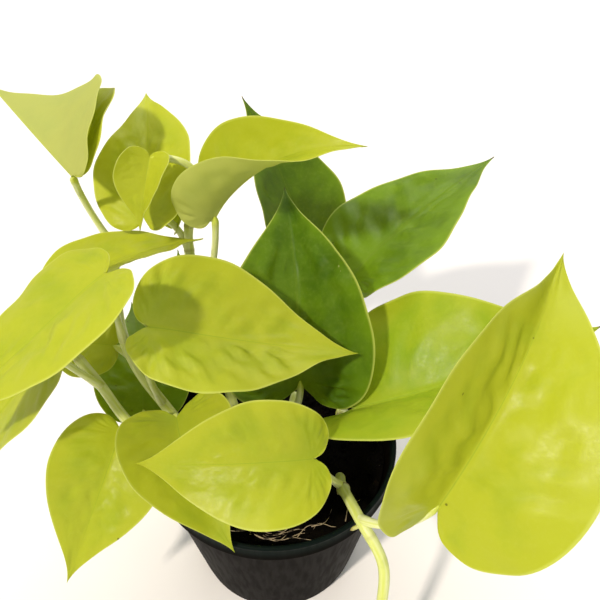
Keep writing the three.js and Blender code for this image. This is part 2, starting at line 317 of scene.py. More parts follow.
def stem_skin(settings, name, pale):
    """Fresh green stem: a smooth waxy skin with soft pale streaks along it and corky nodes."""
    n = Nodes(bpy.data.materials.new(name))
    # The stem attribute goes round the section once and along it slowly, so noise on it makes streaks.
    stem = n.carried("stem", "Vector")
    streaks = n.add("ShaderNodeTexNoise", {0: stem, "Scale": 1.5, "Detail": 2}).outputs[0]
    points = n.points()
    patches = n.ramp(n.mottled(points, 7, 2), 0.5, 0.8, 0.0, 0.35)
    flecks = n.ramp(n.mottled(points, 0.9, 2), 0.3, 0.6, 0.55, 1.0)
    share = n.times(n.ramp(streaks, 0.3, 0.75), pale)
    skin = n.mix(share, rgba(settings.skin), rgba(settings.streak))
    skin = n.mix(patches, skin, rgba(settings.mottle))
    skin = n.mix(n.carried("near_blade"), skin, rgba(settings.neck))
    cork = n.times(n.carried("corky"), flecks)
    skin = n.mix(cork, skin, rgba(settings.scar))
    shader = n.add("ShaderNodeBsdfPrincipled", {
        "Base Color": skin,
        "Roughness": n.maths("ADD", n.times(cork, 0.35), 0.34),
        "IOR": 1.42,
        "Subsurface Weight": 0.2,
        "Subsurface Radius": (1.0, 1.0, 0.4),
        "Subsurface Scale": 1.2 * MM,
        "Normal": n.bumped(streaks, 0.15, 0.1),
    })
    return n.finish(shader)


VEINS = 13  # side veins round half of a blade
VEIN_BOW = 0.05  # how far a side vein bends towards the tip, as a share of the outline
RIPPLES = 24.0, 4.0  # ripples round half of a blade, and from its midrib to its margin
TRANSLUCENCE = 0.42  # share of the light on a blade that goes into its tissue


def waxy_leaf(settings, name, young, old):
    """Living leaf: a waxy cuticle that gives soft white highlights over tissue that light shines through."""
    n = Nodes(bpy.data.materials.new(name))
    points = n.points()
    row, across, along = n.split(n.carried("blade", "Vector"))
    greened, upper, seed = n.split(n.carried("leaf", "Vector"))

    bowed = n.maths("SINE", n.times(across, math.pi))
    veinward = n.maths("MULTIPLY_ADD", bowed, VEIN_BOW, row)
    vein = n.maths("PINGPONG", n.times(veinward, VEINS), 0.5)
    on_vein = n.times(n.ramp(vein, 0.0, 0.09, 1, 0), n.ramp(across, 0.9, 0.6))
    on_midrib = n.ramp(across, 0.006, 0.03, 1, 0)
    on_margin = n.ramp(across, 0.965, 0.995)
    near_margin = n.ramp(across, 0.6, 1.0)

    tissue = n.mottled(points, 1.6, 3, 0.7)
    cells = n.add("ShaderNodeTexVoronoi", {0: points, "Scale": per(0.8)}, feature="DISTANCE_TO_EDGE")
    patch = n.ramp(n.mottled(points, 22, 4, 0.6), 0.35, 0.7, -0.18, 0.18)
    share = n.maths("ADD", greened, patch)
    share = n.maths("SUBTRACT", share, n.times(near_margin, 0.22))
    share = n.add("ShaderNodeClamp", {0: share}).outputs[0]
    face = n.mix(share, rgba(young), rgba(old))
    pale = n.mix(0.5, face, rgba(settings.margin))
    face = n.mix(n.times(on_vein, 0.05), face, pale)
    face = n.mix(n.times(on_midrib, 0.15), face, pale)
    # Painted shade: along the midrib's crease the face is darkened towards the greener colour.
    crease_shade = n.times(n.ramp(across, 0.002, 0.014, 1, 0), n.ramp(along, 0.9, 0.6))
    face = n.mix(n.times(crease_shade, 0.45), face, rgba(old))
    fleck = n.ramp(tissue, 0.45, 0.75, 0.0, 0.14)
    face = n.mix(fleck, face, pale)
    face = n.mix(n.times(on_margin, 0.6), face, rgba(settings.margin))

    # A few brown pinpricks, about 1 mm across, where a chosen point of a 10 mm pattern lies in the blade.
    moved = n.add("ShaderNodeVectorMath", {0: points, 1: seed}, operation="ADD").outputs[0]
    spots = n.add("ShaderNodeTexVoronoi", {0: moved, "Scale": per(10)})
    chosen = n.add("ShaderNodeSeparateColor", {0: spots.outputs["Color"]}).outputs[0]
    spot = n.ramp(spots.outputs[0], 0.03, 0.06, 1, 0)
    spot = n.times(spot, n.ramp(chosen, 0.6, 0.62))
    face = n.mix(n.times(spot, 0.8), face, rgba(settings.pinprick))

    withered = n.times(n.ramp(along, 0.972, 0.988), n.ramp(greened, 0.3, 0.5))
    face = n.mix(withered, face, rgba(settings.withered))

    below = n.maths("SUBTRACT", 1.0, upper)
    matt = n.mix(0.6, face, rgba(settings.underside))
    face = n.mix(below, face, matt)

    rough = n.ramp(tissue, 0.3, 0.7, 0.34, 0.46)
    rough = n.maths("ADD", rough, n.ramp(across, 0.01, 0.08, 0.45, 0.0))
    rough = n.maths("MULTIPLY_ADD", below, 0.28, rough)
    # Short ripples that run out from the midrib between the side veins.
    along_veins = n.add("ShaderNodeCombineXYZ", {
        0: n.times(veinward, RIPPLES[0]), 1: n.times(across, RIPPLES[1]), 2: seed,
    })
    ripple = n.add("ShaderNodeTexNoise", {0: along_veins.outputs[0], "Scale": 1.0, "Detail": 1})
    calm = n.times(n.ramp(across, 0.95, 0.6), n.ramp(across, 0.02, 0.2))
    calm = n.times(n.times(calm, n.ramp(along, 0.85, 0.55)), n.ramp(along, 0.0, 0.15))
    ripples = n.bumped(ripple.outputs[0], n.times(calm, 0.65), 0.55)
    relief = n.maths("MULTIPLY_ADD", n.ramp(cells.outputs[0], 0.0, 0.25), 0.35, tissue)
    skin = n.add("ShaderNodeBsdfPrincipled", {
        "Base Color": face,
        "Roughness": rough,
        "IOR": 1.45,
        "Specular IOR Level": 0.32,
        "Normal": n.bumped(relief, 0.2, 0.1, Normal=ripples),
    })
    through = n.mix(0.55, face, rgba(settings.glow))
    light = n.add("ShaderNodeBsdfTranslucent", {"Color": through})
    both = n.add("ShaderNodeMixShader", {0: TRANSLUCENCE, 1: skin.outputs[0], 2: light.outputs[0]})
    return n.finish(both)


def matt_paint(settings):
    """Matt emulsion on a smooth board: pale and even, with a faint roller texture."""
    n = Nodes(bpy.data.materials.new("matt_emulsion"))
    normal = n.bumped(n.mottled(n.points(), 3, 3), 0.05, 0.1)
    inputs = {"Base Color": rgba(settings.floor), "Roughness": 0.75, "Normal": normal}
    shader = n.add("ShaderNodeBsdfPrincipled", inputs)
    return n.finish(shader)


# ---- meshes ----------------------------------------------------------------------------------------
def new_object(name, shape):
    """A mesh object in the scene from a (points, faces) pair."""
    mesh = bpy.data.meshes.new(name)
    mesh.from_pydata(np.asarray(shape[0]).tolist(), [], shape[1])
    made = bpy.data.objects.new(name, mesh)
    bpy.context.scene.collection.objects.link(made)
    return made


def add_piece(name, shape, material, replaced=(), attributes=None):
    """A smooth piece that rides on the plant's one body."""
    piece = new_object(name, shape)
    mesh = piece.data
    mesh.shade_smooth()
    mesh.set_sharp_from_angle(angle=math.radians(50))
    for key, values in (attributes or {}).items():
        values = np.asarray(values, np.float32)
        kind, field = ("FLOAT_VECTOR", "vector") if values.ndim == 2 else ("FLOAT", "value")
        mesh.attributes.new(key, kind, "POINT").data.foreach_set(field, values.ravel())
    mesh.materials.append(material)
    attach(piece, BODY)
    if replaced:
        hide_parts(*replaced)
    return piece


def joined(parts):
    """One list of points and one of faces from several (points, faces) pairs."""
    points, faces, start = [], [], 0
    for part_points, part_faces in parts:
        points.append(np.asarray(part_points))
        faces += [tuple(start + i for i in face) for face in part_faces]
        start += len(part_points)
    return np.vstack(points), faces


def unit(vectors):
    return vectors / np.linalg.norm(vectors, axis=-1, keepdims=True)


def smooth_step(low, high, values):
    share = np.clip((values - low) / (high - low), 0, 1)
    return share * share * (3 - 2 * share)


def turned(profile, segments):
    """A closed lathe body from (radius, height) points that start and end on the axis."""
    angles = np.linspace(0, 2 * math.pi, segments, endpoint=False)
    points, faces, rings = [], [], []
    for radius, height in profile:
        if radius < 1e-9:
            rings.append([len(points)] * segments)
            points.append((0, 0, height))
            continue
        rings.append(list(range(len(points), len(points) + segments)))
        points += [(radius * math.cos(a), radius * math.sin(a), height) for a in angles]
    for lower, upper in zip(rings, rings[1:]):
        for i in range(segments):
            j = (i + 1) % segments
            corners = list(dict.fromkeys((lower[i], lower[j], upper[j], upper[i])))
            faces.append(tuple(corners))
    return np.array(points), faces


def spline(path, step):
    """Points every step along a centripetal Catmull-Rom curve through path, with metres along it."""
    path = np.asarray(path, float)
    ends = np.vstack([2 * path[0] - path[1], path, 2 * path[-1] - path[-2]])
    found = []
    for p0, p1, p2, p3 in zip(ends, ends[1:], ends[2:], ends[3:]):
        d0, d1, d2 = (np.linalg.norm(b - a) ** 0.5 for a, b in ((p0, p1), (p1, p2), (p2, p3)))
        t1 = ((p1 - p0) / d0 - (p2 - p0) / (d0 + d1) + (p2 - p1) / d1) * d1
        t2 = ((p2 - p1) / d1 - (p3 - p1) / (d1 + d2) + (p3 - p2) / d2) * d1
        s = np.linspace(0, 1, 40, endpoint=False)[:, None]
        found.append(
            p1 + s * t1 + s**2 * (3 * (p2 - p1) - 2 * t1 - t2) + s**3 * (2 * (p1 - p2) + t1 + t2)
        )
    return evenly(np.vstack([*found, path[-1:]]), step)


def evenly(points, step):
    """points moved to even steps along their own line."""
    gone = np.concatenate([[0], np.cumsum(np.linalg.norm(np.diff(points, axis=0), axis=1))])
    count = max(4, round(gone[-1] / step))
    wanted = np.linspace(0, gone[-1], count + 1)
    return np.stack([np.interp(wanted, gone, points[:, k]) for k in range(3)], 1), wanted


def swept(points, radii, sides=20):
    """A closed round tube through points, with a radius at each."""
    tangents = unit(np.gradient(points, axis=0))
    normal = unit(np.cross(tangents[0], (0.3, 0.9, 0.2)))
    angles = np.linspace(0, 2 * math.pi, sides, endpoint=False)
    rings = []
    for centre, tangent, radius in zip(points, tangents, radii):
        normal = unit(normal - tangent * (normal @ tangent))
        binormal = np.cross(tangent, normal)
        section = np.outer(np.cos(angles), normal) + np.outer(np.sin(angles), binormal)
        rings.append(centre + radius * section)
    body = np.vstack([*rings, points[:1], points[-1:]])
    faces = []
    for i in range(len(points) - 1):
        for k in range(sides):
            m = (k + 1) % sides
            faces.append((i * sides + k, i * sides + m, (i + 1) * sides + m, (i + 1) * sides + k))
    first, last = len(body) - 2, len(body) - 1
    top = (len(points) - 1) * sides
    faces += [(first, (k + 1) % sides, k) for k in range(sides)]
    faces += [(last, top + k, top + (k + 1) % sides) for k in range(sides)]
    return body, faces


STREAK_LENGTH = 30 * MM  # a stem's pattern moves on by 1 in this length


def stem_attributes(gone, corky, sides=20):
    """The stem attribute (a turn round the section, and the way along the stem) and the corky share."""
    angles = np.linspace(0, 2 * math.pi, sides, endpoint=False)
    along = gone / STREAK_LENGTH
    round_and_along = [(math.cos(a), math.sin(a), way) for way in along for a in angles]
    round_and_along += [(0, 0, along[0]), (0, 0, along[-1])]
    share = np.repeat(corky, sides).tolist() + [corky[0], corky[-1]]
    return np.array(round_and_along), np.array(share)


def bell(away, width):
    """1 in the middle, with soft flanks that reach out by about width."""
    return np.exp(-((away / width) ** 2))


# ---- the plant's own shape, as in the frame's solids --------------------------------------------------
# Each vine's radius and the points it passes through, in millimetres, from its root end to its tip.
# nodes are where it carries a joint, as shares of its length, with how pronounced each one is.
VINES = {
    "vine_trailing": {
        "radius": 2.2,
        "path": [
            (27, -8, 48), (28, -14, 68), (28, -24, 77), (33, -45, 88), (41, -58, 80), (41, -67, 62),
            (40, -75, 30), (39, -83, 9), (42, -96, 2.8), (50, -110, 2.6), (60, -121, 2.6),
        ],
        "nodes": ((0.19, 1.4), (0.335, 0.3), (0.72, 0.8), (0.97, 0.8)),
    },
    "vine_left": {
        "radius": 2.3,
        "path": [
            (-36, -12, 48), (-41, -15, 67), (-44, -13, 77), (-51, -9, 85), (-62, -2, 93), (-72, 7, 103),
            (-81, 12, 116),
        ],
        "nodes": ((0.42, 0.2), (0.98, 0.4)),
    },
    "vine_mid_left": {
        "radius": 2.4,
        "path": [
            (-30, 0, 48), (-36, 3, 68), (-41, 4, 81), (-48, 8, 91), (-57, 15, 101), (-64, 24, 112),
            (-69, 41, 124), (-72, 60, 136),
        ],
        "nodes": ((0.26, 0.3), (0.66, 0.2), (0.98, 0.4)),
    },
    "vine_centre": {
        "radius": 2.2,
        "path": [(6, 8, 48), (6, 11, 68), (7, 15, 76), (9, 22, 82)],
        "nodes": ((0.7, 0.6),),
    },
    "vine_back": {
        "radius": 2.3,
        "path": [
            (-16, 12, 48), (-18, 18, 68), (-26, 32, 90), (-33, 46, 114), (-38, 57, 136), (-37, 60, 150),
        ],
        "nodes": ((0.42, 0.7), (0.66, 0.5), (0.88, 0.5), (0.98, 0.6)),
    },
    "vine_right": {
        "radius": 2.2,
        "path": [(27, 10, 48), (28, 13, 68), (30, 17, 76), (30, 32, 82), (27, 54, 96)],
        "nodes": ((0.38, 0.7), (0.65, 0.7), (0.97, 0.6)),
    },
}


@dataclass
class Leaf:
    """How one blade is posed and coloured. Angles are in degrees; start and via carry its stalk."""

    start: tuple
    via: tuple
    roll: float = 0
    width: float = 0.8
    fold: tuple = (8, 8)
    cup: float = 0
    arch: float = 0.04
    bend: float = 0
    twist: float = 0
    hang: float = 0.1  # how far the lobes drop behind the stalk
    greened: float = 0.1  # 0 for the youngest lime, 1 for the oldest green
    pucker: float = 1.0  # depth of the quilting between side veins


LEAVES = {
    "top_left": Leaf(
        (-72, 60, 136), (-83, 64, 158), roll=72, width=0.87, fold=(84, 84), arch=0, twist=80, hang=0,
        greened=0.12, pucker=0.5,
    ),
    "upright": Leaf(
        (-38, 57, 136), (-44, 66, 150), roll=-15, width=0.72, fold=(10, 10), arch=0.08, bend=-0.06,
        twist=25, greened=0.06,
    ),
    "young": Leaf(
        (-37, 60, 150), (-20, 56, 184), roll=-20, width=0.88, fold=(48, 0), cup=16, arch=0.08, twist=50,
        greened=0.1, pucker=0.5,
    ),
    "top_arch": Leaf(
        (-33, 46, 114), (-25, 54, 134), roll=10, width=0.65, fold=(35, 20), cup=30, arch=0.12, bend=0.04,
        twist=55, greened=0.06,
    ),
    "dark_back": Leaf(
        (27, 54, 96), (24, 80, 100), roll=15, fold=(10, 10), cup=5, greened=0.95,
    ),
    "dark_right": Leaf(
        (28, 38, 86), (32, 54, 104), roll=-10, fold=(12, 12), arch=0.03, twist=10, greened=0.6, pucker=1.5,
    ),
    "dark_centre": Leaf(
        (7, 15, 76), (12, 14, 84), roll=-5, width=0.88, fold=(20, 35), cup=5, arch=0.1, bend=-0.02,
        greened=0.8, pucker=2.0,
    ),
    "dark_inner": Leaf(
        (-26, 32, 90), (-38, 20, 108), roll=-20, width=0.62, greened=0.8,
    ),
    "dark_left": Leaf(
        (-41, 4, 81), (-53, -1, 83), roll=5, width=0.72, fold=(10, 10), bend=-0.03, greened=0.55,
    ),
    "centre": Leaf(
        (-48, 8, 91), (-52, -2, 124), roll=10, width=0.82, fold=(12, 15), cup=4, arch=-0.02, greened=0.12,
        pucker=1.5,
    ),
    "left": Leaf(
        (-64, 24, 112), (-62, 16, 144), roll=10, fold=(12, 12), cup=-10, arch=0.02, bend=0.03, greened=0.14,
    ),
    "left_back": Leaf(
        (-81, 12, 116), (-93, 20, 128), roll=-15, fold=(15, 12), cup=4, arch=0.05, bend=0.02, twist=5,
        greened=0.08,
    ),
    "corner": Leaf((-72, 7, 103), (-76, 1, 117), fold=(12, 10), bend=0.03, greened=0.2),
    "low_left": Leaf((-57, 15, 101), (-63, 25, 104), roll=-30, fold=(10, 10), arch=0.06, greened=0.1),
    "lower_left": Leaf(
        (-51, -9, 85), (-57, -6, 92), roll=-35, width=0.74, fold=(14, 14), arch=0.05, twist=-15,
        greened=0.22,
    ),
    "lower_mid": Leaf(
        (-41, 4, 81), (-42, 0, 95), roll=10, width=0.9, fold=(18, 18), cup=10, arch=0.1, bend=-0.05,
        greened=0.24,
    ),
    "lower_front": Leaf(
        (28, -24, 77), (22, -31, 92), roll=-45, width=0.7, fold=(12, 12), cup=4, arch=0.1, greened=0.22,
        pucker=1.2,
    ),
    "right_fold": Leaf(
        (30, 17, 76), (34, 6, 80), roll=20, width=0.82, fold=(20, 60), cup=-12, arch=0.1, bend=-0.06,
        twist=30, greened=0.65, pucker=0.9,
    ),
    "right_front": Leaf(
        (33, -45, 88), (46, -58, 98), roll=10, width=0.78, fold=(60, 18), arch=0.14, bend=-0.03, twist=-4,
        greened=0.06, pucker=1.3,
    ),
    "trailing": Leaf((60, -121, 2.6), (64, -124, 7), width=0.78, arch=0.06, greened=0.08),
}
BRACT = Leaf((), (), roll=20, width=0.6, fold=(55, 35), arch=0.12, hang=0, greened=0.3, pucker=0.2)
BRACT_ENDS = (-44, 66, 143), (-28, 72, 162)

# Half of a blade's flat outline, with its length and its half width both 1: the lobe, then the shoulder.
LOBE = ((0, 0), (-0.17, 0.15), (-0.1, 1), (0.24, 1))
SHOULDER = ((0.24, 1), (0.52, 1), (0.78, 0.1), (1, 0))
LOBE_SHARE = 0.42  # veins before this share of the outline all start at the stalk
VEIN_SPREAD = 1.2  # above 1, the first of the later veins start closer together
CREASE = 0.05  # how far from the midrib the fold is rounded, as a share of the length
QUILTING, MARGIN_WAVE, UNDULATION = 0.018, 0.008, 0.01  # heights, as shares of the length
GROOVE, RIB = 0.1 * MM, 1.1 * MM  # the midrib's depth in the upper face and height on the lower
VEIN_DENT, VEIN_RIB = 0.03 * MM, 0.12 * MM  # the same of a side vein
STEP = 0.7 * MM  # between the rings of a stem


def vine_line(name):
    """Points along the middle of a vine, with metres along it."""
    return spline(np.array(VINES[name]["path"]) * MM, STEP)


def bezier(points, share):
    a, b, c, d = (np.array(p, float) for p in points)
    s = np.asarray(share)[..., None]
    return (1 - s) ** 3 * a + 3 * (1 - s) ** 2 * s * b + 3 * (1 - s) * s**2 * c + s**3 * d


def outline(share):
    return np.where(share[:, None] < 0.5, bezier(LOBE, 2 * share), bezier(SHOULDER, 2 * share - 1))


def blade_ends(name):
    """The two ends of a blade's midrib in the frame. Its base is where the most faces of the solid meet."""
    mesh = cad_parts["leaf_" + name].data
    places = np.array([mesh.vertices[loop.vertex_index].co for loop in mesh.loops])
    keys, counts = np.unique(np.round(places / (0.02 * MM)).astype(int), axis=0, return_counts=True)
    keys = keys * 0.02 * MM
    corner = keys[np.argmax(counts)]
    near = keys[np.linalg.norm(keys - corner, axis=1) < 0.8 * MM]
    base = near.mean(axis=0)
    gaps = np.linalg.norm(keys - base, axis=1)
    tip = keys[gaps > gaps.max() - 0.5 * MM].mean(axis=0)
    return base, tip


def blade_surface(leaf, base, tip, x, y):
    """Where the flat points x, y of a blade lie in the frame, on its middle surface."""
    along = tip - base
    size = np.linalg.norm(along)
    along = along / size
    face = unit(np.array((0, 0, 1.0)) - along * along[2])
    roll = math.radians(leaf.roll)
    face = face * math.cos(roll) + np.cross(along, face) * math.sin(roll)
    left = np.cross(face, along)
    bow = np.where(x < 0, 4 * x, 4 * x * (1 - x))
    slope = np.where(x < 0, 4.0, 4 - 8 * x)
    lift = leaf.arch * bow - leaf.hang * 4 * np.maximum(0, 0.15 - x) ** 2
    centre = base + size * (np.outer(x, along) + np.outer(lift, face) + np.outer(leaf.bend * bow, left))
    tangent = unit(along + np.outer(leaf.arch * slope, face) + np.outer(leaf.bend * slope, left))
    across = unit(left - tangent * (tangent @ left)[:, None])
    turn = (math.radians(leaf.twist) * (x - 0.5))[:, None]
    across = across * np.cos(turn) + np.cross(tangent, across) * np.sin(turn)
    up = np.cross(tangent, across)
    reach = np.abs(y) * size * leaf.width / 2
    rise = np.radians(np.where(y > 0, leaf.fold[0], leaf.fold[1]) + leaf.cup * np.abs(y))
    sideways = np.sign(y) * reach * np.cos(rise)
    softened = reach * (1 - np.exp(-reach / (CREASE * size)))
    return centre + across * sideways[:, None] + up * (softened * np.sin(rise))[:, None]


def vertex_normals(points, faces):
    normals = np.zeros_like(points)
    for face in faces:
        corner = np.cross(points[face[1]] - points[face[0]], points[face[2]] - points[face[0]])
        if len(face) == 4:
            corner = corner + np.cross(points[face[2]] - points[face[0]], points[face[3]] - points[face[0]])
        normals[list(face)] += corner
    return unit(normals + 1e-18)


def blade_grid(rows, columns):
    """Flat blade points as (x, y, row share, column share), with faces that look up, and the margin."""
    shares = np.linspace(0, 1, rows + 1)
    edge = outline(shares)
    start = np.maximum(0, (shares - LOBE_SHARE) / (1 - LOBE_SHARE)) ** VEIN_SPREAD
    columns_at = np.linspace(0, 1, columns + 1) ** 1.25
    found, flat, faces, margins = {}, [], [], {}

    def point(i, j, side):
        x = start[i] * (1 - columns_at[j]) + edge[i, 0] * columns_at[j]
        y = side * edge[i, 1] * columns_at[j]
        key = (round(x, 6), round(y, 6) + 0.0)
        if key not in found:
            found[key] = len(flat)
            flat.append((x, y, shares[i], columns_at[j]))
        return found[key]

    for side in (1, -1):
        for i in range(rows):
            for j in range(columns):
                corners = [point(i, j, side), point(i + 1, j, side)]
                corners += [point(i + 1, j + 1, side), point(i, j + 1, side)]
                corners = list(dict.fromkeys(corners))
                if len(corners) > 2:
                    faces.append(tuple(corners if side > 0 else corners[::-1]))
        margins[side] = [point(i, columns, side) for i in range(rows + 1)]
    rim = margins[1] + margins[-1][::-1][1:-1]
    return np.array(flat), faces, rim


def side_vein(row, column):
    """0 on a side vein and 1 half way between two."""
    return np.abs(np.sin(math.pi * VEINS * (row + VEIN_BOW * np.sin(math.pi * column))))


def blade_relief(leaf, flat, middle, size, seed):
    """How far each point of a blade stands off its middle surface: quilting, waves and slow undulation."""
    x, y, row, column = flat.T

    def slow_noise(size, shift):
        return np.array([noise.noise(Vector(p) / size + Vector(shift)) for p in middle])

    between = np.array([noise.noise(Vector((26 * r, 4 * c, seed))) for r, c in zip(row, column)])
    inside = smooth_step(0.06, 0.3, np.hypot(x, 0.5 * y)) * smooth_step(0.02, 0.2, column)
    inside = inside * (1 - smooth_step(0.75, 1.0, column)) * (1 - smooth_step(0.5, 0.8, x))
    uneven = slow_noise(20 * MM, (seed, 0, 0))
    quilting = leaf.pucker * QUILTING * between * inside * (0.8 + 0.9 * uneven)
    turn = 2 * math.pi * row
    phase = 2.3 * seed
    wave = np.sin(3.1 * turn + phase + 1.7 * (y < 0)) + 0.5 * np.sin(7 * turn + phase)
    margin = MARGIN_WAVE * wave * smooth_step(0.5, 1.0, column) * smooth_step(1, 0.85, x)
    undulation = UNDULATION * slow_noise(30 * MM, (0, seed, 5)) * smooth_step(0.05, 0.4, column)
    return size * (quilting + margin + undulation)


def blade_mesh(leaf, base, tip, settings, seed):
    """The (points, faces) pair of one closed blade, and its attributes."""
    flat, faces, rim = blade_grid(settings.rows, settings.columns)
    x, y, row, column = flat.T
    size = np.linalg.norm(tip - base)
    middle = blade_surface(leaf, base, tip, x, y)
    normals = vertex_normals(middle, faces)
    middle = middle + normals * blade_relief(leaf, flat, middle, size, seed)[:, None]
    normals = vertex_normals(middle, faces)
    half = settings.thickness / 2 * (1 - 0.45 * smooth_step(0.75, 1, column))
    near_rib = bell(column, 0.035) * (np.abs(y) < 0.2)
    groove = GROOVE * near_rib * (1 - x)
    rib = RIB * near_rib * np.clip(1 - x, 0, 1) ** 0.8
    vein = (1 - side_vein(row, column)) ** 6
    vein = vein * smooth_step(0, 0.1, column) * (1 - smooth_step(0.6, 0.95, column))
    upper = middle + normals * (half - groove - VEIN_DENT * vein)[:, None]
    lower = middle - normals * (half + rib + VEIN_RIB * vein)[:, None]
    count = len(flat)
    outward = unit(middle[rim] - middle[flat[:, 3] < 0.5].mean(axis=0))
    edge = middle[rim] + outward * 0.12 * MM
    points = np.vstack([upper, lower, edge])
    body = list(faces) + [tuple(i + count for i in face[::-1]) for face in faces]
    for k in range(len(rim)):
        m = (k + 1) % len(rim)
        a, b, c, d = rim[k], rim[m], 2 * count + k, 2 * count + m
        body += [(b, a, c, d), (d, c, a + count, b + count)]
    place = np.stack([row, column, x], 1)
    blade = np.vstack([place, place, place[rim]])
    shown = np.concatenate([np.ones(count), np.zeros(count), np.full(len(rim), 0.5)])
    look = np.stack([np.full(len(shown), leaf.greened), shown, np.full(len(shown), seed * 0.1)], 1)
    return (points, body), {"blade": blade, "leaf": look}


# ---- operators ---------------------------------------------------------------------------------------
class POTHOS_OT_pot(bpy.types.Operator):
    """Builds the tapered nursery pot with its rolled rim, raised floor and drain holes"""

    bl_idname = "pothos.pot"
    bl_label = "Pot"

    def execute(self, context):
        s = context.scene.pothos_pot
        band_foot = s.height - s.rim_band
        top_radius = s.rim_radius - s.rim_step

        def wall(z):
            return s.foot_radius + (top_radius - s.foot_radius) * z / band_foot

        def arc(centre_r, centre_z, radius, start, end, steps=6):
            angles = np.radians(np.linspace(start, end, steps))
            return [(centre_r + radius * math.cos(a), centre_z + radius * math.sin(a)) for a in angles]

        lift, foot = s.floor_lift, s.foot_radius
        boss = 15.2 * MM
        roll = 1.0 * MM
        profile = [(0, 0), (boss - 0.6 * MM, 0), (boss, 0.4 * MM), (boss + 0.8 * MM, lift)]
        profile += [(foot - 4 * MM, lift)]
        profile += [(foot - 3.2 * MM, 0.3 * MM), (foot - 2.8 * MM, 0)]
        profile += arc(foot - 1.2 * MM, 1.2 * MM, 1.2 * MM, -90, -4)
        profile += [(wall(z), z) for z in np.linspace(6 * MM, band_foot - 0.8 * MM, 9)]
        profile += [(wall(band_foot), band_foot - 0.25 * MM), (wall(band_foot) + 0.3 * MM, band_foot)]
        profile += arc(s.rim_radius - 0.8 * MM, band_foot + 0.8 * MM, 0.8 * MM, -88, 0)
        band = s.rim_radius - 0.35 * MM
        profile += [(band, band_foot + 1.6 * MM), (band, s.height - 2.6 * MM)]
        profile += arc(s.rim_radius - roll, s.height - roll, roll, -30, 150, 10)
        inside = s.rim_radius - s.wall
        profile += [(inside - 0.7 * MM, s.height - 1.2 * MM), (inside - 0.8 * MM, band_foot + 2 * MM)]
        profile += [(wall(band_foot) - s.wall, band_foot - 1 * MM)]
        profile += [(wall(z) - s.wall, z) for z in np.linspace(band_foot - 12 * MM, 6 * MM, 4)]
        profile += [(foot - 4 * MM, lift + s.wall), (0, lift + s.wall)]
        pot = add_piece("pot_moulded", turned(profile, 160), moulded_plastic(s), ("pot",))
        self.drain(pot, s)
        return {"FINISHED"}

    def drain(self, pot, s):
        """Cuts the drain holes through the raised ring of the floor."""
        depth = 6 * MM
        profile = [(0, -depth), (s.hole_radius, -depth), (s.hole_radius, depth), (0, depth)]
        drill_points, drill_faces = turned(profile, 32)
        parts = []
        for i in range(s.holes):
            angle = 2 * math.pi * (i + 0.5) / s.holes
            place = np.array((math.cos(angle), math.sin(angle), 0)) * s.hole_circle
            parts.append((drill_points + place + (0, 0, s.floor_lift), drill_faces))
        drills = new_object("drills", joined(parts))
        cut = pot.modifiers.new("drain holes", "BOOLEAN")
        cut.object, cut.operation, cut.solver = drills, "DIFFERENCE", "EXACT"
        bpy.context.view_layer.update()
        whole = bpy.data.meshes.new_from_object(pot.evaluated_get(bpy.context.evaluated_depsgraph_get()))
        pot.modifiers.clear()
        pot.data = whole
        bpy.data.meshes.remove(drills.data)
        if len(whole.vertices) < 1000:
            raise RuntimeError("the drain holes left no pot")


